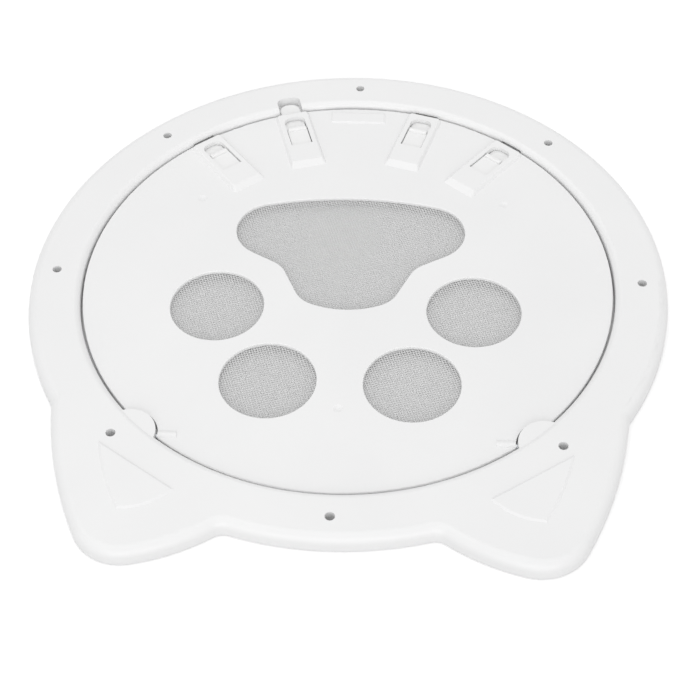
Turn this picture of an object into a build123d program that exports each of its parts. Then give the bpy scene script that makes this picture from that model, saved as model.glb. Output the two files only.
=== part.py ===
"""Cat flap with an eared ring frame, lying on its mounting face.

Millimetres. The origin is the centre of the screw circle on the mounting plane, +Z points out of the door
towards the room, and the ears point along -Y. The flap is shut, latch 2 is pushed out into its notch and the
tips of the other three latches end at the rim of the flap.
"""
import os
from math import cos, radians, sin, sqrt

from build123d import *

os.makedirs("parts", exist_ok=True)

# Driving dimensions of the ring frame
opening_radius = 121.5
ring_width = 23.5
frame_height = 8.0
outer_rounding = 4.4
inner_rounding = 2.9
top_wall = 2.4
outer_wall = 2.4
inner_wall = 2.2
screw_count = 8
screw_edge_distance = 11.5
screw_hole_radius = 2.1
screw_boss_radius = 4.5
rib_width = 1.6
rib_count = 8

# Driving dimensions of one ear, the one at -X: each point's reach beyond the ring's edge and its direction
ear_outer_root_reach = -3.2
ear_outer_root_angle = 209.1
ear_outer_middle_reach = 18.1
ear_outer_middle_angle = 225.47
ear_apex_reach = 38.3
ear_apex_angle = 238.63
ear_inner_middle_reach = 22.2
ear_inner_middle_angle = 245.24
ear_inner_root_reach = -6.2
ear_inner_root_angle = 254.07
ear_tip_radius = 22.0
ear_valley_radius = 7.0
panel_outer_reach = -5.2
panel_outer_angle = 224.86
panel_inner_reach = -6.7
panel_inner_angle = 242.43
panel_tip_reach = 13.8
panel_tip_angle = 237.03
panel_outer_bulge = 1.6
panel_inner_bulge = 2.8
panel_rise = 0.6
panel_slope = 60.0

# Driving dimensions of the flap
rim_gap = 1.0
flap_face_drop = 2.3
flap_back_gap = 0.6
flap_front_wall = 1.5
flap_rim_wall = 2.4
flap_roll_width = 6.0
flap_roll_drop = 0.2
flap_edge_rounding = 0.6
flap_back_thickness = 2.2
flap_back_setback = 0.3
flap_back_rounding = 0.8
window_edge_rounding = 0.5
window_back_margin = 0.8
collar_width = 2.5
boss_radius = 4.0
sink_radius = 2.2
sink_depth = 0.35

# Driving proportions of the windows and the screw bosses, as shares of the flap's radius
toe_radius_share = 0.1756
upper_toe_share = (0.4797, -0.1475)
lower_toe_share = (0.2593, -0.5070)
pad_top_share = 0.4499
pad_shoulder_share = (0.6374, 0.2906)
pad_waist_share = (0.2539, 0.0692)
pad_foot_share = (0.1732, -0.1050)
pad_bottom_share = -0.1533
pad_shoulder_radius_share = 0.1475
pad_waist_radius_share = 0.1077
pad_foot_radius_share = 0.1160
side_boss_share = (0.5982, 0.4308)
middle_boss_share = -0.6297

# Driving dimensions of the mesh
mesh_thickness = 0.5
mesh_margin_share = 0.0622
mesh_gap = 7.0
mesh_strand = 2.4
mesh_angle = 18.5
mesh_edge_share = 0.6

# Driving dimensions of the hinge
hinge_z = 3.5
hinge_pin_radius = 1.5
hinge_pin_length = 18.5
hinge_running_clearance = 0.05
hinge_press_clearance = 0.02
saddle_mouth = 2.6
pin_end_gap = 0.5
barrel_radius = 2.9
barrel_length = 8.0
barrel_gap = 0.4
hinge_pin_chamfer = 0.3
lug_reach = 5.7
lug_angle = 46.65
lug_radius = 11.5
lug_drop = 0.5
lug_gap = 0.85
lug_wall = 1.6

# Driving dimensions of the latches
latch_angles = [129.0, 106.4, 73.6, 51.0]
open_notch_latch = 1
bolt_width = 9.7
bolt_thickness = 2.0
bolt_reach = 6.7
bolt_tip_rounding = 4.6
latch_length = 39.0
latch_travel = 8.0
hidden_latch_reach = 4.5
plate_rise = 1.5
plate_overlap = 1.5
tail_width = 12.5
tail_length = 4.0
thumb_bar_length = 2.4
thumb_bar_rise = 1.1
thumb_bar_inset = 0.3
thumb_bar_rounding = 0.8
thumb_bar_setback = 7.1
slide_clearance = 0.2
housing_setback = 1.5
housing_length = 39.8
housing_width = 15.0
housing_rise = 1.7
housing_side_slope = 1.2
housing_end_slope = 3.5
housing_sink = 1.2
housing_corner_radius = 1.4
housing_rounding = 0.8
latch_window_setback = 3.6
latch_window_length = 20.5
latch_window_width = 10.5
latch_window_corner_radius = 3.8
channel_wall = 1.6
notch_width = 11.7
notch_end_gap = 2.0
notch_rounding = 3.4
notch_floor = 1.5
notch_wall = 1.6

# Driving dimensions of the magnets and the clamp screws
magnet_width = 24.0
flap_magnet_length = 6.0
flap_magnet_thickness = 2.0
frame_magnet_length = 4.0
frame_magnet_thickness = 3.0
magnet_clearance = 0.1
magnet_pad_width = 27.7
magnet_pad_length = 8.2
magnet_pad_setback = 7.6
magnet_pad_rise = 0.7
magnet_pad_slope = 55.0
screw_head_radius = 2.8
screw_head_height = 1.3
screw_head_sink = 0.1
screw_shank_radius = 1.4
screw_clearance = 0.05
screw_hole_clearance = 0.2
screw_reach = 2.1
screw_slot_width = 0.7
screw_slot_length = 3.4
screw_slot_depth = 0.6

# Sizes and places that follow from the ones above
ring_radius = opening_radius + ring_width
screw_circle_radius = ring_radius - screw_edge_distance
lug_x = (opening_radius + lug_reach) * cos(radians(lug_angle))
hinge_y = -(opening_radius + lug_reach) * sin(radians(lug_angle))
face_z = frame_height - flap_face_drop
rim_top_z = face_z - flap_roll_drop
shell_z = face_z - flap_front_wall
parting_z = flap_back_gap + flap_back_thickness
flap_radius = opening_radius - rim_gap
flap_back_radius = flap_radius - flap_back_setback
magnet_pad_centre = flap_radius - magnet_pad_setback
bolt_tip_radius = opening_radius + bolt_reach
tail_inner_end = bolt_tip_radius - latch_length
housing_outer_end = flap_radius - housing_setback
housing_inner_end = housing_outer_end - housing_length
window_outer_end = housing_outer_end - latch_window_setback
window_inner_end = window_outer_end - latch_window_length
notch_outer_end = bolt_tip_radius + notch_end_gap
mesh_z = shell_z - mesh_thickness
housing_top_z = face_z + housing_rise
bolt_z = parting_z + slide_clearance
bolt_top_z = bolt_z + bolt_thickness
channel_top_z = bolt_top_z + slide_clearance
plate_top_z = bolt_top_z + plate_rise
plate_channel_top_z = plate_top_z + slide_clearance
cavity_top_z = frame_height - top_wall
lug_top_z = frame_height - lug_drop
channel_width = bolt_width + 2 * slide_clearance
tail_channel_width = tail_width + 2 * slide_clearance
tail_outer_end = tail_inner_end + tail_length
channel_inner_end = tail_inner_end - latch_travel - slide_clearance
channel_step = tail_outer_end + slide_clearance
thumb_bar_outer_end = window_outer_end - thumb_bar_setback
thumb_bar_width = bolt_width - 2 * thumb_bar_inset
plate_inner_end = window_inner_end - plate_overlap
plate_channel_inner_end = plate_inner_end - latch_travel - slide_clearance
barrel_outer_x = lug_x - lug_radius - lug_gap
barrel_inner_x = barrel_outer_x - barrel_length
pin_inner_x = barrel_inner_x + pin_end_gap
pin_outer_x = pin_inner_x + hinge_pin_length
pin_end_x = pin_outer_x + pin_end_gap
screw_seat_z = flap_back_gap + screw_head_sink + screw_head_height
screw_tip_z = parting_z + screw_reach
frame_magnet_y = opening_radius + inner_wall + magnet_clearance + frame_magnet_length / 2
housing_reach = (housing_rise + housing_sink) / housing_rise
sink_sphere_radius = (sink_radius ** 2 + sink_depth ** 2) / (2 * sink_depth)
lug_places = [(-lug_x, hinge_y), (lug_x, hinge_y)]
latch_turns = [Location((0, 0, 0), (0, 0, angle)) for angle in latch_angles]
hidden_latch_turns = [turn for i, turn in enumerate(latch_turns) if i != open_notch_latch]
open_latch_turn = latch_turns[open_notch_latch]


def left_of(start, end):
    """Unit vector to the left of the way from start to end."""
    length = sqrt((end[0] - start[0]) ** 2 + (end[1] - start[1]) ** 2)
    return ((start[1] - end[1]) / length, (end[0] - start[0]) / length)


def moved(point, direction, distance):
    """Point moved along a direction."""
    return (point[0] + distance * direction[0], point[1] + distance * direction[1])


def bulged(start, end, bulge):
    """Middle point of an arc from start to end that bulges to the right of its chord."""
    middle = ((start[0] + end[0]) / 2, (start[1] + end[1]) / 2)
    return moved(middle, left_of(start, end), -bulge)


def beyond_ring(reach, angle):
    """Point at a reach beyond the ring's edge, in the direction of an angle."""
    return ((ring_radius + reach) * cos(radians(angle)), (ring_radius + reach) * sin(radians(angle)))


def on_flap(share):
    """Point given as shares of the flap's radius."""
    return (share[0] * flap_radius, share[1] * flap_radius)


# Points of the ear, the raised triangle, the windows and the screw bosses
ear_outer_root = beyond_ring(ear_outer_root_reach, ear_outer_root_angle)
ear_outer_middle = beyond_ring(ear_outer_middle_reach, ear_outer_middle_angle)
ear_apex = beyond_ring(ear_apex_reach, ear_apex_angle)
ear_inner_middle = beyond_ring(ear_inner_middle_reach, ear_inner_middle_angle)
ear_inner_root = beyond_ring(ear_inner_root_reach, ear_inner_root_angle)
panel_outer_corner = beyond_ring(panel_outer_reach, panel_outer_angle)
panel_inner_corner = beyond_ring(panel_inner_reach, panel_inner_angle)
panel_tip_corner = beyond_ring(panel_tip_reach, panel_tip_angle)
pad_shoulder = on_flap(pad_shoulder_share)
pad_waist = on_flap(pad_waist_share)
pad_foot = on_flap(pad_foot_share)
toe_places = [(s * x, y) for x, y in (on_flap(upper_toe_share), on_flap(lower_toe_share)) for s in (-1, 1)]
boss_places = [on_flap((-side_boss_share[0], side_boss_share[1])), on_flap(side_boss_share),
               on_flap((0, middle_boss_share))]

# Directions into the ear from its outer flank, its inner flank and its tip
flank_in = left_of(ear_outer_root, ear_apex)
brow_in = left_of(ear_apex, ear_inner_root)
tip_share = 1 + flank_in[0] * brow_in[0] + flank_in[1] * brow_in[1]
tip_in = ((flank_in[0] + brow_in[0]) / tip_share, (flank_in[1] + brow_in[1]) / tip_share)
hollow_apex = moved(ear_apex, tip_in, outer_wall)
hollow_outer_root = moved(ear_outer_root, flank_in, outer_wall)
hollow_inner_root = moved(ear_inner_root, brow_in, outer_wall)

# The ear at -X, with its root carried into the ring, and the hollow behind it
with BuildSketch() as ear:
    with BuildLine():
        ThreePointArc(ear_outer_root, ear_outer_middle, ear_apex)
        ThreePointArc(ear_apex, ear_inner_middle, ear_inner_root)
        Line(ear_inner_root, ear_outer_root)
    make_face()
    fillet(ear.vertices().sort_by(Axis.Y)[0], ear_tip_radius)

with BuildSketch() as ear_hollow:
    with BuildLine():
        ThreePointArc(hollow_outer_root, moved(ear_outer_middle, flank_in, outer_wall), hollow_apex)
        ThreePointArc(hollow_apex, moved(ear_inner_middle, brow_in, outer_wall), hollow_inner_root)
        Line(hollow_inner_root, hollow_outer_root)
    make_face()
    fillet(ear_hollow.vertices().sort_by(Axis.Y)[0], ear_tip_radius - outer_wall)

# Paw print: four toes and a pad, drawn once and used for every window
with BuildSketch() as paw:
    with BuildLine():
        ThreePointArc((-pad_shoulder[0], pad_shoulder[1]), (0, pad_top_share * flap_radius), pad_shoulder)
        Polyline(pad_shoulder, pad_waist, pad_foot)
        ThreePointArc(pad_foot, (0, pad_bottom_share * flap_radius), (-pad_foot[0], pad_foot[1]))
        Polyline((-pad_foot[0], pad_foot[1]), (-pad_waist[0], pad_waist[1]),
                 (-pad_shoulder[0], pad_shoulder[1]))
    make_face()
    fillet(paw.vertices().group_by(Axis.Y)[-1], pad_shoulder_radius_share * flap_radius)
    fillet([paw.vertices().sort_by_distance((side * pad_waist[0], pad_waist[1]))[0] for side in (-1, 1)],
           pad_waist_radius_share * flap_radius)
    fillet(paw.vertices().group_by(Axis.Y)[0], pad_foot_radius_share * flap_radius)
    with Locations(*toe_places):
        Circle(toe_radius_share * flap_radius)

# Ring frame: a shell that is open behind
with BuildPart() as ring_frame:
    with BuildSketch():
        add(ear.sketch)
        mirror(about=Plane.YZ)
        Circle(ring_radius)
    extrude(amount=frame_height)
    fillet(ring_frame.edges().filter_by(Axis.Z).filter_by(
        lambda e: e.center().Y < ear_outer_middle[1] / 2
        and abs(sqrt(e.center().X ** 2 + e.center().Y ** 2) - ring_radius) < outer_wall), ear_valley_radius)
    fillet(ring_frame.edges().group_by(Axis.Z)[-1], outer_rounding)
    with BuildSketch():
        Circle(opening_radius)
    extrude(amount=frame_height, mode=Mode.SUBTRACT)
    fillet(ring_frame.edges().group_by(Axis.Z)[-1].sort_by(
        lambda e: abs(e.radius - opening_radius) if e.geom_type == GeomType.CIRCLE else 1000)[0],
        inner_rounding)
    # Hollow back, with the bosses of the screw holes and the ribs left standing
    with BuildSketch():
        add(ear_hollow.sketch)
        mirror(about=Plane.YZ)
        Circle(ring_radius - outer_wall)
        Circle(opening_radius + inner_wall, mode=Mode.SUBTRACT)
        with PolarLocations(screw_circle_radius, screw_count, start_angle=90):
            Circle(screw_boss_radius, mode=Mode.SUBTRACT)
        with PolarLocations((opening_radius + ring_radius) / 2, rib_count, start_angle=90 + 180 / rib_count):
            Rectangle(2 * (ring_radius - opening_radius), rib_width, mode=Mode.SUBTRACT)
        with Locations((0, frame_magnet_y)):
            Rectangle(magnet_width + 2 * channel_wall, frame_magnet_length + 2 * channel_wall,
                      mode=Mode.SUBTRACT)
        with Locations((0, frame_magnet_y)):
            Rectangle(magnet_width + 2 * magnet_clearance, frame_magnet_length + 2 * magnet_clearance)
        with Locations(*lug_places):
            Circle(lug_radius, mode=Mode.SUBTRACT)
    extrude(amount=cavity_top_z, mode=Mode.SUBTRACT)
    # Hinge lugs, a little lower than the ring's face, with a saddle that each pin snaps into from behind
    with BuildSketch():
        with Locations(*lug_places):
            Circle(lug_radius)
    extrude(amount=lug_top_z)
    for side in (-1, 1):
        with Locations(Location((side * pin_end_x, hinge_y, hinge_z), (0, -side * 90, 0))):
            Cylinder(hinge_pin_radius + hinge_running_clearance, pin_end_x - barrel_outer_x,
                     align=(Align.CENTER, Align.CENTER, Align.MIN), mode=Mode.SUBTRACT)
        with Locations((side * (pin_end_x + barrel_outer_x) / 2, hinge_y, 0)):
            Box(pin_end_x - barrel_outer_x, saddle_mouth, hinge_z,
                align=(Align.CENTER, Align.CENTER, Align.MIN), mode=Mode.SUBTRACT)
    # Pocket of the latch whose notch is open to the front
    with Locations(open_latch_turn):
        with Locations((opening_radius + inner_wall / 2, 0, bolt_z - slide_clearance - notch_floor)):
            Box(notch_outer_end + notch_wall - opening_radius - inner_wall / 2, notch_width + 2 * notch_wall,
                cavity_top_z - bolt_z + slide_clearance + notch_floor,
                align=(Align.MIN, Align.CENTER, Align.MIN))
    notch_plane = Plane(origin=(0, 0, bolt_z - slide_clearance),
                        x_dir=(cos(radians(latch_angles[open_notch_latch])),
                               sin(radians(latch_angles[open_notch_latch])), 0), z_dir=(0, 0, 1))
    with BuildSketch(notch_plane) as notch:
        with Locations((notch_outer_end, 0)):
            Rectangle(2 * (notch_outer_end - opening_radius), notch_width, align=(Align.MAX, Align.CENTER))
        fillet(notch.vertices().sort_by(Axis.X)[-2:], notch_rounding)
    extrude(amount=frame_height, mode=Mode.SUBTRACT)
    # Slots in the inner wall for the latches that go in behind the face
    with Locations(*hidden_latch_turns):
        with Locations((opening_radius, 0, 0)):
            Box(4 * inner_wall, notch_width, cavity_top_z, align=(Align.CENTER, Align.CENTER, Align.MIN),
                mode=Mode.SUBTRACT)
    # Screw holes
    with BuildSketch(Plane.XY.offset(frame_height)):
        with PolarLocations(screw_circle_radius, screw_count, start_angle=90):
            Circle(screw_hole_radius)
    extrude(amount=-frame_height, mode=Mode.SUBTRACT)
    # Raised triangle on each ear
    with BuildSketch(Plane.XY.offset(frame_height)):
        with BuildLine():
            ThreePointArc(panel_outer_corner,
                          bulged(panel_outer_corner, panel_tip_corner, panel_outer_bulge),
                          panel_tip_corner)
            ThreePointArc(panel_tip_corner,
                          bulged(panel_tip_corner, panel_inner_corner, panel_inner_bulge),
                          panel_inner_corner)
            Line(panel_inner_corner, panel_outer_corner)
        make_face()
        mirror(about=Plane.YZ)
    extrude(amount=panel_rise, taper=panel_slope)
ring_frame.part.label = "ring_frame"
export_step(ring_frame.part, "parts/ring_frame.step")

# Front half of the flap: a shallow dish with windows, latch housings, the magnet seat and the hinge barrels
with BuildPart() as flap_front:
    with BuildSketch(Plane.XZ) as profile:
        with BuildLine():
            Polyline((0, shell_z), (0, face_z), (flap_radius - flap_roll_width, face_z))
            TangentArc((flap_radius - flap_roll_width, face_z), (flap_radius, rim_top_z), tangent=(1, 0))
            Polyline((flap_radius, rim_top_z), (flap_radius, parting_z),
                     (flap_radius - flap_rim_wall, parting_z), (flap_radius - flap_rim_wall, shell_z),
                     (0, shell_z))
        make_face()
        fillet(profile.vertices().group_by(Axis.X)[-1].sort_by(Axis.Y)[-1], flap_edge_rounding)
    revolve(axis=Axis.Z)
    with BuildSketch(Plane.XY.offset(parting_z)):
        add(paw.sketch)
    extrude(amount=frame_height, mode=Mode.SUBTRACT)
    fillet(flap_front.edges(Select.LAST).group_by(Axis.Z)[-1], window_edge_rounding)
    # Walls behind the face: around the latch channels, the screws, the lugs and the magnet
    with Locations(*latch_turns):
        with Locations((channel_inner_end - channel_wall, 0, parting_z)):
            Box(flap_radius - flap_rim_wall / 2 - channel_inner_end + channel_wall,
                tail_channel_width + 2 * channel_wall, channel_top_z - parting_z,
                align=(Align.MIN, Align.CENTER, Align.MIN))
    with BuildSketch(Plane.XY.offset(parting_z)):
        with Locations(*boss_places):
            Circle(boss_radius)
        with Locations(*lug_places):
            Circle(lug_radius + lug_gap + lug_wall)
        with Locations((0, magnet_pad_centre)):
            Rectangle(magnet_width + 2 * channel_wall, flap_magnet_length + 2 * channel_wall)
    extrude(amount=shell_z - parting_z + flap_front_wall / 2)
    for side in (-1, 1):
        with Locations(Location((side * barrel_outer_x, hinge_y, hinge_z), (0, -side * 90, 0))):
            Cylinder(barrel_radius, barrel_length, align=(Align.CENTER, Align.CENTER, Align.MIN))
    # Latch housings, with a slope at their inner end and along their sides
    for turn in latch_turns:
        foot = Plane(turn).offset(face_z - housing_sink)
        with BuildSketch(foot):
            with Locations((housing_outer_end, 0)):
                Rectangle(housing_outer_end - housing_inner_end + housing_end_slope * (housing_reach - 1),
                          housing_width + 2 * housing_side_slope * housing_reach,
                          align=(Align.MAX, Align.CENTER))
        with BuildSketch(foot.offset(housing_rise + housing_sink)):
            with Locations((housing_outer_end, 0)):
                Rectangle(housing_outer_end - housing_inner_end - housing_end_slope, housing_width,
                          align=(Align.MAX, Align.CENTER))
        loft()
    fillet(flap_front.edges().filter_by(
        lambda e: e.center().Z > face_z and abs(e.tangent_at(0.5).Z) > 0.3), housing_corner_radius)
    fillet(flap_front.edges().group_by(Axis.Z)[-1], housing_rounding)
    # Raised magnet seat
    with BuildSketch(Plane.XY.offset(face_z - flap_roll_drop)):
        with Locations((0, magnet_pad_centre)):
            Rectangle(magnet_pad_width + 2 * flap_roll_drop, magnet_pad_length + 2 * flap_roll_drop)
    extrude(amount=magnet_pad_rise + flap_roll_drop, taper=magnet_pad_slope)
    # Trim to the rim, then free the lugs
    with BuildSketch():
        Circle(flap_radius)
    extrude(amount=2 * frame_height, mode=Mode.INTERSECT)
    with BuildSketch():
        with Locations(*lug_places):
            Circle(lug_radius + lug_gap)
    extrude(amount=2 * frame_height, mode=Mode.SUBTRACT)
    # Latch channels, open behind, and the windows above them, which are round at their outer end
    with Locations(*latch_turns):
        with Locations((channel_inner_end, 0, parting_z)):
            Box(channel_step - channel_inner_end, tail_channel_width, channel_top_z - parting_z,
                align=(Align.MIN, Align.CENTER, Align.MIN), mode=Mode.SUBTRACT)
        with Locations((channel_inner_end, 0, parting_z)):
            Box(flap_radius - channel_inner_end + rim_gap, channel_width, channel_top_z - parting_z,
                align=(Align.MIN, Align.CENTER, Align.MIN), mode=Mode.SUBTRACT)
        with Locations((plate_channel_inner_end, 0, parting_z)):
            Box(thumb_bar_outer_end - plate_channel_inner_end, channel_width, plate_channel_top_z - parting_z,
                align=(Align.MIN, Align.CENTER, Align.MIN), mode=Mode.SUBTRACT)
    for turn in latch_turns:
        with BuildSketch(Plane(turn).offset(parting_z)) as latch_window:
            with Locations((window_outer_end, 0)):
                Rectangle(latch_window_length, latch_window_width, align=(Align.MAX, Align.CENTER))
            fillet(latch_window.vertices().sort_by(Axis.X)[-2:], latch_window_corner_radius)
        extrude(amount=frame_height, mode=Mode.SUBTRACT)
    # Holes for the pins, the screws and the magnet
    for side in (-1, 1):
        with Locations(Location((side * pin_inner_x, hinge_y, hinge_z), (0, side * 90, 0))):
            Cylinder(hinge_pin_radius + hinge_press_clearance, barrel_length,
                     align=(Align.CENTER, Align.CENTER, Align.MIN), mode=Mode.SUBTRACT)
    with BuildSketch(Plane.XY.offset(parting_z)):
        with Locations(*boss_places):
            Circle(screw_shank_radius + screw_clearance)
    extrude(amount=screw_reach + screw_clearance, mode=Mode.SUBTRACT)
    with Locations((0, magnet_pad_centre, parting_z)):
        Box(magnet_width + 2 * magnet_clearance, flap_magnet_length + 2 * magnet_clearance,
            flap_magnet_thickness + magnet_clearance, align=(Align.CENTER, Align.CENTER, Align.MIN),
            mode=Mode.SUBTRACT)
    # Sink marks over the screw bosses
    with Locations(*[(x, y, face_z + sink_sphere_radius - sink_depth) for x, y in boss_places]):
        Sphere(sink_sphere_radius, rotation=(90, 0, 0), mode=Mode.SUBTRACT)
flap_front.part.label = "flap_front"
export_step(flap_front.part, "parts/flap_front.step")

# Back half of the flap: a plate with a collar around each window that presses the mesh to the front half
with BuildPart() as flap_back:
    with BuildSketch(Plane.XY.offset(flap_back_gap)):
        Circle(flap_back_radius)
    extrude(amount=flap_back_thickness)
    fillet(flap_back.edges().group_by(Axis.Z)[0], flap_back_rounding)
    with BuildSketch(Plane.XY.offset(parting_z)):
        offset(paw.sketch, amount=window_back_margin + collar_width)
    extrude(amount=mesh_z - parting_z)
    with BuildSketch():
        offset(paw.sketch, amount=window_back_margin)
        with Locations(*lug_places):
            Circle(lug_radius + lug_gap)
        for side in (-1, 1):
            with Locations((side * (barrel_inner_x - barrel_gap), -flap_radius)):
                Rectangle(barrel_length + 2 * lug_gap, flap_radius + hinge_y + barrel_radius + barrel_gap,
                          align=(Align.MIN if side > 0 else Align.MAX, Align.MIN))
        with Locations(*boss_places):
            Circle(screw_shank_radius + screw_hole_clearance)
    extrude(amount=frame_height, mode=Mode.SUBTRACT)
    with BuildSketch():
        with Locations(*boss_places):
            Circle(screw_head_radius + screw_hole_clearance)
    extrude(amount=screw_seat_z, mode=Mode.SUBTRACT)
flap_back.part.label = "flap_back"
export_step(flap_back.part, "parts/flap_back.step")

# Mesh: one sheet behind all five windows, cut to their outline and a margin, with wide strands for the weave
mesh_pitch = mesh_gap + mesh_strand
mesh_rows = int(flap_radius / mesh_pitch)
weave_turn = Location((0, 0, 0), (0, 0, mesh_angle))
weave_places = [(weave_turn * Location((i * mesh_pitch, j * mesh_pitch, 0))).position
                for i in range(-mesh_rows, mesh_rows + 1) for j in range(-mesh_rows, mesh_rows + 1)]
clear_paw = offset(paw.sketch, amount=-mesh_gap * mesh_edge_share, mode=Mode.PRIVATE)
gap_places = [place for place in weave_places if any(face.is_inside(place) for face in clear_paw.faces())]
with BuildPart() as mesh_sheet:
    with BuildSketch(Plane.XY.offset(mesh_z)):
        offset(paw.sketch, amount=mesh_margin_share * flap_radius)
        with Locations(*[Location(place, (0, 0, mesh_angle)) for place in gap_places]):
            Rectangle(mesh_gap, mesh_gap, mode=Mode.SUBTRACT)
    extrude(amount=mesh_thickness)
mesh_sheet.part.label = "mesh_sheet"
export_step(mesh_sheet.part, "parts/mesh_sheet.step")

# Latch sliders: a bolt, a plate with a thumb bar in the window and a wider tail that stops it at both ends
for number, turn in enumerate(latch_turns):
    if number == open_notch_latch:
        tip_radius = bolt_tip_radius
        drawn_back = 0
    else:
        tip_radius = flap_radius
        drawn_back = hidden_latch_reach
    with BuildPart() as latch:
        with BuildSketch(Plane(turn).offset(bolt_z)) as slider:
            with Locations((tip_radius, 0)):
                Rectangle(tip_radius - tail_inner_end + drawn_back, bolt_width,
                          align=(Align.MAX, Align.CENTER))
            fillet(slider.vertices().sort_by(Axis.X)[-2:], bolt_tip_rounding)
            with Locations((tail_inner_end - drawn_back, 0)):
                Rectangle(tail_length, tail_width, align=(Align.MIN, Align.CENTER))
        extrude(amount=bolt_thickness)
        with BuildSketch(Plane(turn).offset(bolt_top_z)):
            with Locations((thumb_bar_outer_end, 0)):
                Rectangle(thumb_bar_outer_end - plate_inner_end + drawn_back, bolt_width,
                          align=(Align.MAX, Align.CENTER))
        extrude(amount=plate_rise)
        with BuildSketch(Plane(turn).offset(plate_top_z)):
            with Locations((thumb_bar_outer_end, 0)):
                Rectangle(thumb_bar_length, thumb_bar_width, align=(Align.MAX, Align.CENTER))
        extrude(amount=thumb_bar_rise)
        fillet(latch.edges().group_by(Axis.Z)[-1], thumb_bar_rounding)
    latch.part.label = f"latch_{number + 1}"
    export_step(latch.part, f"parts/latch_{number + 1}.step")

# Hinge pins
for name, side in (("left", -1), ("right", 1)):
    with BuildPart() as hinge_pin:
        with Locations(Location((side * pin_inner_x, hinge_y, hinge_z), (0, side * 90, 0))):
            Cylinder(hinge_pin_radius, hinge_pin_length, align=(Align.CENTER, Align.CENTER, Align.MIN))
        chamfer(hinge_pin.edges().group_by(Axis.X)[0] + hinge_pin.edges().group_by(Axis.X)[-1],
                hinge_pin_chamfer)
    hinge_pin.part.label = f"hinge_pin_{name}"
    export_step(hinge_pin.part, f"parts/hinge_pin_{name}.step")

# Clamp screws, put in from behind
with BuildPart() as clamp_screws:
    with BuildSketch(Plane.XY.offset(screw_seat_z)):
        with Locations(*boss_places):
            Circle(screw_shank_radius)
    extrude(amount=screw_tip_z - screw_seat_z)
    with BuildSketch(Plane.XY.offset(screw_seat_z)):
        with Locations(*boss_places):
            Circle(screw_head_radius)
    extrude(amount=-screw_head_height)
    with BuildSketch(Plane.XY.offset(screw_seat_z - screw_head_height)):
        with Locations(*boss_places):
            Rectangle(screw_slot_length, screw_slot_width)
            Rectangle(screw_slot_width, screw_slot_length)
    extrude(amount=screw_slot_depth, mode=Mode.SUBTRACT)
clamp_screws.part.label = "clamp_screws"
export_step(clamp_screws.part, "parts/clamp_screws.step")

# Magnets that hold the flap shut
with BuildPart() as flap_magnet:
    with Locations((0, magnet_pad_centre, parting_z)):
        Box(magnet_width, flap_magnet_length, flap_magnet_thickness,
            align=(Align.CENTER, Align.CENTER, Align.MIN))
flap_magnet.part.label = "flap_magnet"
export_step(flap_magnet.part, "parts/flap_magnet.step")

with BuildPart() as frame_magnet:
    with Locations((0, frame_magnet_y, cavity_top_z)):
        Box(magnet_width, frame_magnet_length, frame_magnet_thickness,
            align=(Align.CENTER, Align.CENTER, Align.MAX))
frame_magnet.part.label = "frame_magnet"
export_step(frame_magnet.part, "parts/frame_magnet.step")
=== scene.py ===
"""Looks of a round cat flap with an eared ring frame: finishes, the woven mesh, the stage and the camera.

Everything is in metres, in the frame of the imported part: the origin is the centre of the screw circle on the
mounting plane, +Z points into the room and the ears point along -Y.
"""

import math

import bpy
import numpy as np
from mathutils import Matrix, Vector


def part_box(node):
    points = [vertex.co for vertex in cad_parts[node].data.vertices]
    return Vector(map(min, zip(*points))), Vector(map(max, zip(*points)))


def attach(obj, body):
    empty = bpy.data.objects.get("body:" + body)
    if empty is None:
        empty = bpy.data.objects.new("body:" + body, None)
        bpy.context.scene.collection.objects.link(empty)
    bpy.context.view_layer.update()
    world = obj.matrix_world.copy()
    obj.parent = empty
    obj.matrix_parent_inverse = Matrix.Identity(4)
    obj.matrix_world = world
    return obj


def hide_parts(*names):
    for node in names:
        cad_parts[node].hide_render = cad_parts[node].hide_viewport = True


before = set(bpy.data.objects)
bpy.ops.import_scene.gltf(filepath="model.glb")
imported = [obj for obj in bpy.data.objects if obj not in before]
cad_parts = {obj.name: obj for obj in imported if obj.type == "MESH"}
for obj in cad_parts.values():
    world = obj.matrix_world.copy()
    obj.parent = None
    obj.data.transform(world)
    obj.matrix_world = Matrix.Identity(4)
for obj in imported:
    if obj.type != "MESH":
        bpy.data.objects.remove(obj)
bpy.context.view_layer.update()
sheet_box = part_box("mesh_sheet")

bl_info = {
    "name": "Cat flap looks",
    "version": (1, 0, 0),
    "blender": (4, 5, 0),
    "location": "View3D > Sidebar > Cat flap",
    "description": "Gives the cat flap its moulded plastic, its woven mesh and its stage",
    "category": "Object",
}

# Pieces of each finish
mouldings = ("ring_frame", "flap_front", "flap_back")
sliders = ("latch_1", "latch_2", "latch_3", "latch_4")
steel_pieces = ("hinge_pin_left", "hinge_pin_right", "clamp_screws")
magnets = ("flap_magnet", "frame_magnet")

# Paw print of the five windows in the flap
toe_centres = np.array([(-0.0579, -0.0178), (0.0579, -0.0178), (-0.0313, -0.0612), (0.0313, -0.0612)])
toe_radius = 0.0212
pad_corners = np.array([(0.0, -0.001), (0.036, 0.0355), (-0.036, 0.0355)])
pad_radius = 0.0176

# Square of crossings that the mesh is cut from: its middle, and how far it reaches to each side
weave_middle = np.array([0.0, -0.012])
weave_reach = 0.095

# Seed of the threads' tones, and points round a thread at a crossing
thread_seed = 7
ring_points = 4

# Range that most values of a noise lie in
noise_low = 0.3
noise_high = 0.7

# Colour sockets of a mix node, by number because other sockets have the same names
mix_first = 6
mix_second = 7
mix_result = 2

# Spacing in the node editor, width of the camera's sensor in millimetres, and plain white
node_step = 300
sensor_width = 36.0
white = (1.0, 1.0, 1.0, 1.0)


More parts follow.
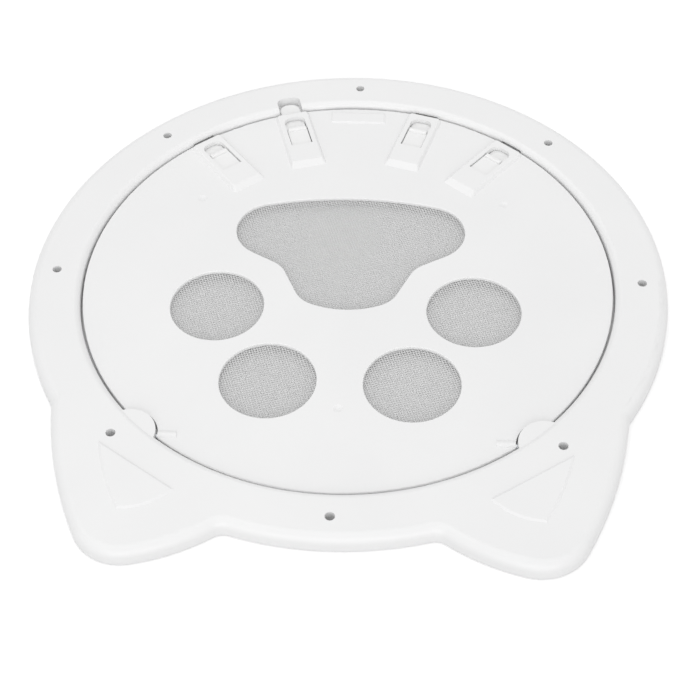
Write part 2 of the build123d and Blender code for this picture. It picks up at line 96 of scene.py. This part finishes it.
def colour(label, words, value):
    """Colour property with a linear default."""
    return bpy.props.FloatVectorProperty(name=label, description=words, default=value, size=3, min=0.0,
                                         max=1.0, subtype="COLOR")


def length(label, words, value):
    """Length property in metres."""
    return bpy.props.FloatProperty(name=label, description=words, default=value, unit="LENGTH", precision=5)


def lengths(label, words, value):
    """Property of two or three lengths in metres, for a size or a place."""
    return bpy.props.FloatVectorProperty(name=label, description=words, default=value, size=len(value),
                                         unit="LENGTH")


def angle(label, words, degrees):
    """Angle property whose default is given in degrees."""
    return bpy.props.FloatProperty(name=label, description=words, default=math.radians(degrees),
                                   subtype="ANGLE", unit="ROTATION")


def share(label, words, value, top=1.0):
    """Plain number from zero to a top value."""
    return bpy.props.FloatProperty(name=label, description=words, default=value, min=0.0, max=top)


def power(label, words, value):
    """Power of a lamp in watts."""
    return bpy.props.FloatProperty(name=label, description=words, default=value, unit="POWER")


class FlapPlastic(bpy.types.PropertyGroup):
    """Colours and surface of the white mouldings."""
    body: colour("Body", "White of the moulded plastic", (0.86, 0.86, 0.86))
    cloud: colour("Cloud", "Slightly greyer white in the broad flow marks", (0.84, 0.84, 0.842))
    slider: colour("Slider", "White of the latch sliders", (0.87, 0.87, 0.868))
    mark: length("Flow mark", "Size of the broad flow marks", 0.06)
    patch: length("Patch", "Size of the patches of roughness", 0.018)
    roughness: share("Roughness", "Mean roughness of the satin surface", 0.36)
    rough_spread: share("Roughness spread", "How far the patches depart from the mean roughness", 0.04)
    grain: length("Grain", "Size of the fine moulding grain", 0.0007)
    grain_depth: length("Grain depth", "Depth of the fine moulding grain", 0.000006)
    refraction: share("Refraction", "Index of refraction of the plastic", 1.48, 3.0)


class FlapWeave(bpy.types.PropertyGroup):
    """Sizes and colours of the woven mesh."""
    pitch: length("Pitch", "Distance between neighbouring threads", 0.00119)
    width: length("Thread width", "Width of one thread", 0.00044)
    turn: angle("Turn", "Direction of the warp on the flap", 18.5)
    margin: length("Margin", "How far the sheet runs on behind the rim of a window", 0.0072)
    thread: colour("Thread", "Pale grey of the threads", (0.765, 0.765, 0.765))
    shade: colour("Shade", "Darker grey of some of the threads", (0.735, 0.735, 0.735))
    fibre: length("Fibre", "Size of the fibres in a thread", 0.0002)
    fibre_depth: length("Fibre depth", "Depth of the fibres in a thread", 0.00001)
    smooth: share("Smooth", "Roughness of the smoothest fibres", 0.5)
    rough: share("Rough", "Roughness of the roughest fibres", 0.7)


class FlapMetal(bpy.types.PropertyGroup):
    """Colours and surface of the hidden pins, screws and magnets."""
    steel: colour("Steel", "Zinc plated steel of the pins and screws", (0.62, 0.63, 0.65))
    dull: colour("Dull steel", "Duller patches of the plating", (0.48, 0.49, 0.50))
    patch: length("Patch", "Size of the duller patches", 0.0015)
    line: length("Line", "Width of the fine lines from drawing the wire", 0.0004)
    line_stretch: share("Line stretch", "Scale of the lines along X, where it is one across them", 0.15)
    line_depth: length("Line depth", "Depth of the fine lines", 0.000004)
    steel_smooth: share("Steel smooth", "Roughness of the smoothest steel", 0.28)
    steel_rough: share("Steel rough", "Roughness of the roughest steel", 0.45)
    ferrite: colour("Ferrite", "Dark grey of the magnets", (0.045, 0.043, 0.042))
    dust: colour("Dust", "Paler powder marks on the magnets", (0.11, 0.105, 0.10))
    speck: length("Speck", "Size of the grains in the magnets", 0.0006)
    speck_depth: length("Speck depth", "Depth of the grains in the magnets", 0.00002)
    ferrite_smooth: share("Ferrite smooth", "Roughness of the smoothest grains", 0.55)
    ferrite_rough: share("Ferrite rough", "Roughness of the roughest grains", 0.75)


class FlapStage(bpy.types.PropertyGroup):
    """Camera, floor and light."""
    azimuth: angle("Azimuth", "Turn of the camera about the vertical", 4.4808)
    elevation: angle("Elevation", "Height of the camera above the horizon", 48.2096)
    roll: angle("Roll", "Roll of the camera about its own axis", -1.8451)
    distance: length("Distance", "Distance from the camera to the ring's face along its axis", 0.71999)
    slide_right: length("Slide right", "Where the ring's centre stands right of the camera's axis", 0.003137)
    slide_up: length("Slide up", "Where the ring's centre stands above the camera's axis", 0.029124)
    face_level: length("Face level", "Height of the ring's face above the mounting plane", 0.008)
    lens: bpy.props.FloatProperty(name="Lens", description="Focal length on a 36 mm sensor", default=83.656,
                                  unit="CAMERA")
    floor_size: length("Floor size", "Side of the square floor", 8.0)
    floor_drop: length("Floor drop", "How far the floor lies below the mounting plane", 0.0002)
    floor: colour("Floor", "Pale floor as it lights the part", (0.65, 0.65, 0.65))
    shown: colour("Shown floor", "Pale floor as the camera sees it", (0.8, 0.8, 0.8))
    glow: share("Glow", "White that the camera sees on the open floor on top of its light", 0.3)
    # The floor under the flap and ring shows less glow than the open floor: a painted shade where the flap
    # shades the floor
    painted_shade_glow: share("Dim", "White that the camera sees on the floor under the flap", 0.12)
    far_glow: share("Far glow", "White that the camera sees on the far floor on top of its light", 0.6)
    far_start: length("Far start", "Distance at which the open floor starts to turn into the far one", 0.4)
    far_end: length("Far end", "Distance at which the far floor begins", 1.4)
    # Radius and edge of that painted shade: the floor within them shows the lower glow
    painted_shade_radius: length("Cover", "Radius of the floor that lies under the flap and the ring", 0.133)
    painted_shade_edge: length("Cover edge", "Half the width over which that floor turns into the open one", 0.004)
    sky: share("Sky", "Strength of the even light from all round", 0.7, 4.0)
    key: power("Key", "Power of the softbox behind the camera", 46)
    key_size: lengths("Key size", "Width and height of the softbox behind the camera", (4.0, 2.2))
    key_place: lengths("Key place", "Middle of the softbox behind the camera", (0.2, -3.3, 1.25))
    top: power("Top", "Power of the softbox overhead", 17.5)
    top_size: lengths("Top size", "Width and depth of the softbox overhead", (2.4, 2.4))
    top_place: lengths("Top place", "Middle of the softbox overhead", (-0.45, 0.7, 2.5))


def empty_tree(owner):
    """Turns on the nodes of a material or a world and gives its tree, emptied."""
    owner.use_nodes = True
    owner.node_tree.nodes.clear()
    return owner.node_tree


def add_node(tree, kind, cell, **settings):
    """New shader node with its settings, at a column and row of the node editor."""
    made = tree.nodes.new(kind)
    made.location = (cell[0] * node_step, cell[1] * node_step)
    for name, value in settings.items():
        setattr(made, name, value)
    return made


def fill(node, values):
    """Sets the input sockets of a node by name."""
    for name, value in values.items():
        node.inputs[name].default_value = value


class Finish:
    """Procedural material on Object coordinates: a principled shader whose looks come from noise."""

    def __init__(self, name):
        self.material = bpy.data.materials.new(name)
        self.tree = empty_tree(self.material)
        self.link = self.tree.links.new
        self.place = add_node(self.tree, "ShaderNodeTexCoord", (-4, 0)).outputs["Object"]
        self.shader = add_node(self.tree, "ShaderNodeBsdfPrincipled", (2, 0))
        output = add_node(self.tree, "ShaderNodeOutputMaterial", (3, 0))
        self.link(self.shader.outputs["BSDF"], output.inputs["Surface"])

    def noise(self, size, detail, row, stretch=None):
        """Noise whose features are about one size across, before its coordinates are stretched."""
        source = self.place
        if stretch is not None:
            mapping = add_node(self.tree, "ShaderNodeMapping", (-3, row))
            fill(mapping, {"Scale": stretch})
            self.link(source, mapping.inputs["Vector"])
            source = mapping.outputs["Vector"]
        noise = add_node(self.tree, "ShaderNodeTexNoise", (-2, row))
        fill(noise, {"Scale": 1.0 / size, "Detail": detail})
        self.link(source, noise.inputs["Vector"])
        return noise.outputs["Fac"]

    def spread(self, noise, low, high, row):
        """Noise mapped from its usual range to low and high."""
        ramp = add_node(self.tree, "ShaderNodeMapRange", (-1, row))
        fill(ramp, {"From Min": noise_low, "From Max": noise_high, "To Min": low, "To Max": high})
        self.link(noise, ramp.inputs["Value"])
        return ramp.outputs["Result"]

    def set_tones(self, factor, first, second):
        """Base colour that goes from a first to a second tone by a factor."""
        mix = add_node(self.tree, "ShaderNodeMix", (0, 1), data_type="RGBA")
        mix.inputs[mix_first].default_value = (*first, 1.0)
        mix.inputs[mix_second].default_value = (*second, 1.0)
        self.link(factor, mix.inputs["Factor"])
        self.link(mix.outputs[mix_result], self.shader.inputs["Base Color"])

    def set_roughness(self, noise, smooth, rough):
        """Roughness that goes from smooth to rough by a noise."""
        self.link(self.spread(noise, smooth, rough, 0), self.shader.inputs["Roughness"])

    def set_bump(self, height, depth):
        """Bump of a depth in metres."""
        bump = add_node(self.tree, "ShaderNodeBump", (1, -1))
        fill(bump, {"Strength": 1.0, "Distance": depth})
        self.link(height, bump.inputs["Height"])
        self.link(bump.outputs["Normal"], self.shader.inputs["Normal"])


def moulded_plastic(name, body, cloud, sizes):
    """Satin white plastic: broad faint flow marks in colour, patchy roughness and a fine even grain."""
    made = Finish(name)
    marks = made.noise(sizes.mark, detail=3.0, row=1)
    patches = made.noise(sizes.patch, detail=4.0, row=0)
    grain = made.noise(sizes.grain, detail=2.0, row=-1)
    made.set_tones(made.spread(marks, 0.0, 1.0, 1), body, cloud)
    made.set_roughness(patches, sizes.roughness - sizes.rough_spread, sizes.roughness + sizes.rough_spread)
    made.set_bump(grain, sizes.grain_depth)
    fill(made.shader, {"IOR": sizes.refraction})
    return made.material


def plated_steel(sizes):
    """Zinc plated steel with duller patches and fine lines along X."""
    made = Finish("plated steel")
    patches = made.noise(sizes.patch, detail=4.0, row=1)
    lines = made.noise(sizes.line, detail=3.0, row=0, stretch=(sizes.line_stretch, 1.0, 1.0))
    made.set_tones(made.spread(patches, 0.0, 1.0, 1), sizes.steel, sizes.dull)
    made.set_roughness(lines, sizes.steel_smooth, sizes.steel_rough)
    made.set_bump(lines, sizes.line_depth)
    fill(made.shader, {"Metallic": 1.0})
    return made.material


def sintered_ferrite(sizes):
    """Dark magnet material with paler grains."""
    made = Finish("ferrite")
    specks = made.noise(sizes.speck, detail=5.0, row=1)
    made.set_tones(made.spread(specks, 0.0, 1.0, 1), sizes.ferrite, sizes.dust)
    made.set_roughness(specks, sizes.ferrite_smooth, sizes.ferrite_rough)
    made.set_bump(specks, sizes.speck_depth)
    return made.material


def mesh_yarn(sizes):
    """Matt yarn whose tone comes from the attribute of its thread, with fine fibres."""
    made = Finish("mesh yarn")
    own = add_node(made.tree, "ShaderNodeAttribute", (-2, 1), attribute_name="thread_tone").outputs["Fac"]
    fibres = made.noise(sizes.fibre, detail=2.0, row=0)
    made.set_tones(own, sizes.thread, sizes.shade)
    made.set_roughness(fibres, sizes.smooth, sizes.rough)
    made.set_bump(fibres, sizes.fibre_depth)
    return made.material


def dress(names, material):
    """Puts a material on CAD nodes."""
    for name in names:
        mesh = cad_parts[name].data
        mesh.materials.clear()
        mesh.materials.append(material)


def paw_distance(points):
    """Distance outside the paw print, negative inside.

    The print is four discs and a pad. A disc's distance is that to its centre less its radius. The pad is a
    triangle with round corners: the distance to its nearest side, negative inside the triangle, less the
    radius of the corners.
    """
    to_toe = np.linalg.norm(points[..., None, :] - toe_centres, axis=-1).min(-1) - toe_radius
    side = np.roll(pad_corners, -1, axis=0) - pad_corners
    from_corner = points[..., None, :] - pad_corners
    along = np.clip((from_corner * side).sum(-1) / (side * side).sum(-1), 0.0, 1.0)
    gap = np.linalg.norm(from_corner - along[..., None] * side, axis=-1).min(-1)
    inside = (side[:, 0] * from_corner[..., 1] > side[:, 1] * from_corner[..., 0]).all(-1)
    return np.minimum(to_toe, np.where(inside, -gap, gap) - pad_radius)


def woven_threads(sizes, level, thickness):
    """Plain weave of flat threads on a square grid of crossings, cut to the paw print and a margin.

    Crossing (i, j) lies at i pitches along the warp and j along the weft. There the warp is lifted by a
    quarter of the sheet's thickness where i + j is even and lowered where it is odd, and the weft is moved
    the other way. Each thread is a ring of four points per crossing, half a width to each side and a quarter
    of the thickness up and down. Rings of neighbouring crossings are joined where both lie in the cut, and a
    thread's two ends are closed. The tone of a thread is one random number from zero to one.
    """
    count = int(weave_reach / sizes.pitch)
    steps = np.arange(-count, count + 1)
    i, j = np.meshgrid(steps, steps, indexing="ij")
    warp = np.array([math.cos(sizes.turn), math.sin(sizes.turn)])
    weft = np.array([-warp[1], warp[0]])
    crossings = (i[..., None] * warp + j[..., None] * weft) * sizes.pitch + weave_middle
    kept = paw_distance(crossings) < sizes.margin
    kept_count = int(kept.sum())
    number = np.full(kept.shape, -1)
    number[kept] = np.arange(kept_count)
    padded = np.pad(number, 1, constant_values=-1)
    neighbours = ((padded[:-2, 1:-1], padded[2:, 1:-1]), (padded[1:-1, :-2], padded[1:-1, 2:]))
    quarter = thickness / 4
    lift = np.where((i + j) % 2 == 0, quarter, -quarter)
    upright = np.array([0.0, 0.0, quarter])
    corner = np.arange(ring_points)
    after_corner = np.roll(corner, -1)
    seeded = np.random.default_rng(thread_seed)
    points, faces, tones = [], [], []
    for axis, across, sign in ((0, weft, 1.0), (1, warp, -1.0)):
        centre = np.concatenate([crossings, (level + sign * lift)[..., None]], axis=-1)
        sideways = np.array([*across, 0.0]) * sizes.width / 2 * sign
        ring = np.stack([sideways, upright, -sideways, -upright])
        points.append((centre[kept][:, None, :] + ring).reshape(-1, 3))
        tone = np.broadcast_to(np.expand_dims(seeded.random(kept.shape[0]), axis), kept.shape)
        tones.append(np.repeat(tone[kept], ring_points))
        before, after = neighbours[axis]
        joined = kept & (after >= 0)
        here = number[joined][:, None] * ring_points
        there = after[joined][:, None] * ring_points
        sides = np.stack([here + corner, there + corner, there + after_corner, here + after_corner], axis=-1)
        first = number[kept & (before < 0)][:, None] * ring_points + corner
        last = number[kept & (after < 0)][:, None] * ring_points + corner[::-1]
        start = axis * kept_count * ring_points
        faces.append(np.concatenate([sides.reshape(-1, ring_points), first, last]) + start)
    cut_area = kept_count * sizes.pitch ** 2
    return np.concatenate(points), np.concatenate(faces), np.concatenate(tones), cut_area


def mesh_object(name, points, quads):
    """New object at the origin from arrays of points and quads."""
    mesh = bpy.data.meshes.new(name)
    mesh.vertices.add(len(points))
    mesh.vertices.foreach_set("co", points.astype(np.float32).ravel())
    mesh.loops.add(quads.size)
    mesh.loops.foreach_set("vertex_index", quads.astype(np.int32).ravel())
    mesh.polygons.add(len(quads))
    mesh.polygons.foreach_set("loop_start", np.arange(0, quads.size, quads.shape[1], dtype=np.int32))
    mesh.polygons.foreach_set("use_smooth", np.ones(len(quads), dtype=bool))
    mesh.update(calc_edges=True)
    mesh.validate()
    made = bpy.data.objects.new(name, mesh)
    bpy.context.scene.collection.objects.link(made)
    return made


class CATFLAP_OT_mouldings(bpy.types.Operator):
    """Gives the ring frame, the two halves of the flap and the four sliders their white plastic"""
    bl_idname = "catflap.mouldings"
    bl_label = "Finish the mouldings"

    def execute(self, context):
        sizes = context.scene.flap_plastic
        dress(mouldings, moulded_plastic("moulded white", sizes.body, sizes.cloud, sizes))
        dress(sliders, moulded_plastic("slider white", sizes.slider, sizes.body, sizes))
        return {"FINISHED"}


class CATFLAP_OT_hardware(bpy.types.Operator):
    """Gives the pins and screws their plated steel and the magnets their ferrite"""
    bl_idname = "catflap.hardware"
    bl_label = "Finish the hardware"

    def execute(self, context):
        sizes = context.scene.flap_metal
        dress(steel_pieces, plated_steel(sizes))
        dress(magnets, sintered_ferrite(sizes))
        return {"FINISHED"}


class CATFLAP_OT_weave(bpy.types.Operator):
    """Weaves the mesh that shows in the five windows"""
    bl_idname = "catflap.weave"
    bl_label = "Weave the mesh"

    def execute(self, context):
        sizes = context.scene.flap_weave
        low, high = sheet_box
        points, quads, tones, cut_area = woven_threads(sizes, (low.z + high.z) / 2, high.z - low.z)
        woven = mesh_object("woven_mesh", points, quads)
        attribute = woven.data.attributes.new("thread_tone", "FLOAT", "POINT")
        attribute.data.foreach_set("value", tones.astype(np.float32))
        woven.data.materials.append(mesh_yarn(sizes))
        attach(woven, "flap")
        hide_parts("mesh_sheet")
        return {"FINISHED"}


class CATFLAP_OT_stage(bpy.types.Operator):
    """Sets the floor, the light and the camera"""
    bl_idname = "catflap.stage"
    bl_label = "Set the stage"

    def execute(self, context):
        wishes = context.scene.flap_stage
        half = wishes.floor_size / 2
        level = -wishes.floor_drop
        corners = np.array([(-half, -half, level), (half, -half, level), (half, half, level),
                            (-half, half, level)])
        floor = mesh_object("floor", corners, np.array([[0, 1, 2, 3]]))
        floor.data.materials.append(self.floor_finish(wishes))
        self.even_light(context, wishes)
        self.softbox(context, "front softbox", wishes.key, wishes.key_size, wishes.key_place)
        self.softbox(context, "top softbox", wishes.top, wishes.top_size, wishes.top_place)
        self.camera(context, wishes)
        context.scene.view_settings.view_transform = "Standard"
        return {"FINISHED"}

    def floor_finish(self, wishes):
        """Pale floor that shows as white to the camera and keeps the shadow; under the flap and ring its glow
        is lower, a painted shade.
        """
        made = bpy.data.materials.new("pale floor")
        tree = empty_tree(made)
        plain = add_node(tree, "ShaderNodeBsdfDiffuse", (0, -1))
        fill(plain, {"Color": (*wishes.floor, 1.0)})
        lit = add_node(tree, "ShaderNodeBsdfDiffuse", (0, 0))
        fill(lit, {"Color": (*wishes.shown, 1.0)})
        place = add_node(tree, "ShaderNodeTexCoord", (-4, 1)).outputs["Object"]
        reach = add_node(tree, "ShaderNodeVectorMath", (-3, 1), operation="LENGTH")
        tree.links.new(place, reach.inputs[0])
        open_floor = add_node(tree, "ShaderNodeMapRange", (-2, 1))
        fill(open_floor, {"From Min": wishes.far_start, "From Max": wishes.far_end,
                          "To Min": wishes.glow, "To Max": wishes.far_glow})
        tree.links.new(reach.outputs["Value"], open_floor.inputs["Value"])
        # Glow strength: the open floor's glow outside, and inside the radius of the flap and ring a lower glow
        # that is painted shade
        glow_with_painted_shade = add_node(tree, "ShaderNodeMapRange", (-1, 1))
        fill(glow_with_painted_shade, {"From Min": wishes.painted_shade_radius - wishes.painted_shade_edge,
                        "From Max": wishes.painted_shade_radius + wishes.painted_shade_edge,
                        "To Min": wishes.painted_shade_glow})
        tree.links.new(reach.outputs["Value"], glow_with_painted_shade.inputs["Value"])
        tree.links.new(open_floor.outputs["Result"], glow_with_painted_shade.inputs["To Max"])
        glow = add_node(tree, "ShaderNodeEmission", (0, 1))
        tree.links.new(glow_with_painted_shade.outputs["Result"], glow.inputs["Strength"])
        shown = add_node(tree, "ShaderNodeAddShader", (1, 0))
        tree.links.new(lit.outputs["BSDF"], shown.inputs[0])
        tree.links.new(glow.outputs["Emission"], shown.inputs[1])
        output = add_node(tree, "ShaderNodeOutputMaterial", (3, 0))
        self.show(tree, plain.outputs["BSDF"], shown.outputs["Shader"], output)
        return made

    def even_light(self, context, wishes):
        """White world that lights at a plain level and shows as white."""
        world = bpy.data.worlds.new("white room")
        context.scene.world = world
        tree = empty_tree(world)
        light = add_node(tree, "ShaderNodeBackground", (0, -1))
        fill(light, {"Color": white, "Strength": wishes.sky})
        shown = add_node(tree, "ShaderNodeBackground", (0, 0))
        fill(shown, {"Color": white, "Strength": 1.0})
        output = add_node(tree, "ShaderNodeOutputWorld", (3, 0))
        self.show(tree, light.outputs["Background"], shown.outputs["Background"], output)

    def show(self, tree, plain, shown, output):
        """Gives shown to rays that the camera sees, also off gloss or through glass, and plain to others."""
        rays = add_node(tree, "ShaderNodeLightPath", (-2, 2))
        seen = rays.outputs["Is Camera Ray"]
        for column, kind in ((-1, "Is Glossy Ray"), (0, "Is Transmission Ray")):
            either = add_node(tree, "ShaderNodeMath", (column, 2), operation="MAXIMUM")
            tree.links.new(seen, either.inputs[0])
            tree.links.new(rays.outputs[kind], either.inputs[1])
            seen = either.outputs["Value"]
        mix = add_node(tree, "ShaderNodeMixShader", (2, 0))
        tree.links.new(seen, mix.inputs["Fac"])
        tree.links.new(plain, mix.inputs[1])
        tree.links.new(shown, mix.inputs[2])
        tree.links.new(mix.outputs["Shader"], output.inputs["Surface"])

    def softbox(self, context, name, watts, size, place):
        """Rectangular lamp that looks at the origin, the middle of the ring."""
        lamp = bpy.data.lights.new(name, "AREA")
        lamp.shape = "RECTANGLE"
        lamp.size, lamp.size_y = size
        lamp.energy = watts
        made = bpy.data.objects.new(name, lamp)
        made.location = place
        made.rotation_mode = "QUATERNION"
        made.rotation_quaternion = (-Vector(place)).to_track_quat("-Z", "Y")
        context.scene.collection.objects.link(made)

    def camera(self, context, wishes):
        """Camera whose axes come from azimuth, elevation and roll, placed by its distance and two slides."""
        turn, height = wishes.azimuth, wishes.elevation
        away = math.cos(height)
        back = Vector((math.sin(turn) * away, -math.cos(turn) * away, math.sin(height)))
        right = Vector((math.cos(turn), math.sin(turn), 0.0))
        up = back.cross(right)
        level, tip = math.cos(wishes.roll), math.sin(wishes.roll)
        axes = Matrix((right * level + up * tip, up * level - right * tip, back)).transposed()
        place = axes @ -Vector((wishes.slide_right, wishes.slide_up, -wishes.distance))
        data = bpy.data.cameras.new("camera")
        data.sensor_width = sensor_width
        data.lens = wishes.lens
        made = bpy.data.objects.new("camera", data)
        made.matrix_world = Matrix.Translation(place + Vector((0.0, 0.0, wishes.face_level))) @ axes.to_4x4()
        context.scene.collection.objects.link(made)
        context.scene.camera = made


class CATFLAP_PT_looks(bpy.types.Panel):
    """Lists the steps that dress the cat flap"""
    bl_idname = "CATFLAP_PT_looks"
    bl_label = "Cat flap"
    bl_space_type = "VIEW_3D"
    bl_region_type = "UI"
    bl_category = "Cat flap"

    def draw(self, context):
        for step in steps:
            self.layout.operator(step.bl_idname)
        for name in groups:
            box = self.layout.box()
            settings = getattr(context.scene, name)
            for key in settings.__annotations__:
                box.prop(settings, key)


groups = {
    "flap_plastic": FlapPlastic,
    "flap_weave": FlapWeave,
    "flap_metal": FlapMetal,
    "flap_stage": FlapStage,
}
steps = (CATFLAP_OT_mouldings, CATFLAP_OT_hardware, CATFLAP_OT_weave, CATFLAP_OT_stage)


def register():
    """Registers the settings, the steps and the panel."""
    for kind in (*groups.values(), *steps, CATFLAP_PT_looks):
        bpy.utils.register_class(kind)
    for name, kind in groups.items():
        setattr(bpy.types.Scene, name, bpy.props.PointerProperty(type=kind))


def unregister():
    """Takes back what register put in."""
    for name in groups:
        delattr(bpy.types.Scene, name)
    for kind in reversed((*groups.values(), *steps, CATFLAP_PT_looks)):
        bpy.utils.unregister_class(kind)


def main():
    """Dresses the cat flap step by step."""
    register()
    bpy.ops.catflap.mouldings()
    bpy.ops.catflap.hardware()
    bpy.ops.catflap.weave()
    bpy.ops.catflap.stage()


if __name__ == "__main__":
    main()
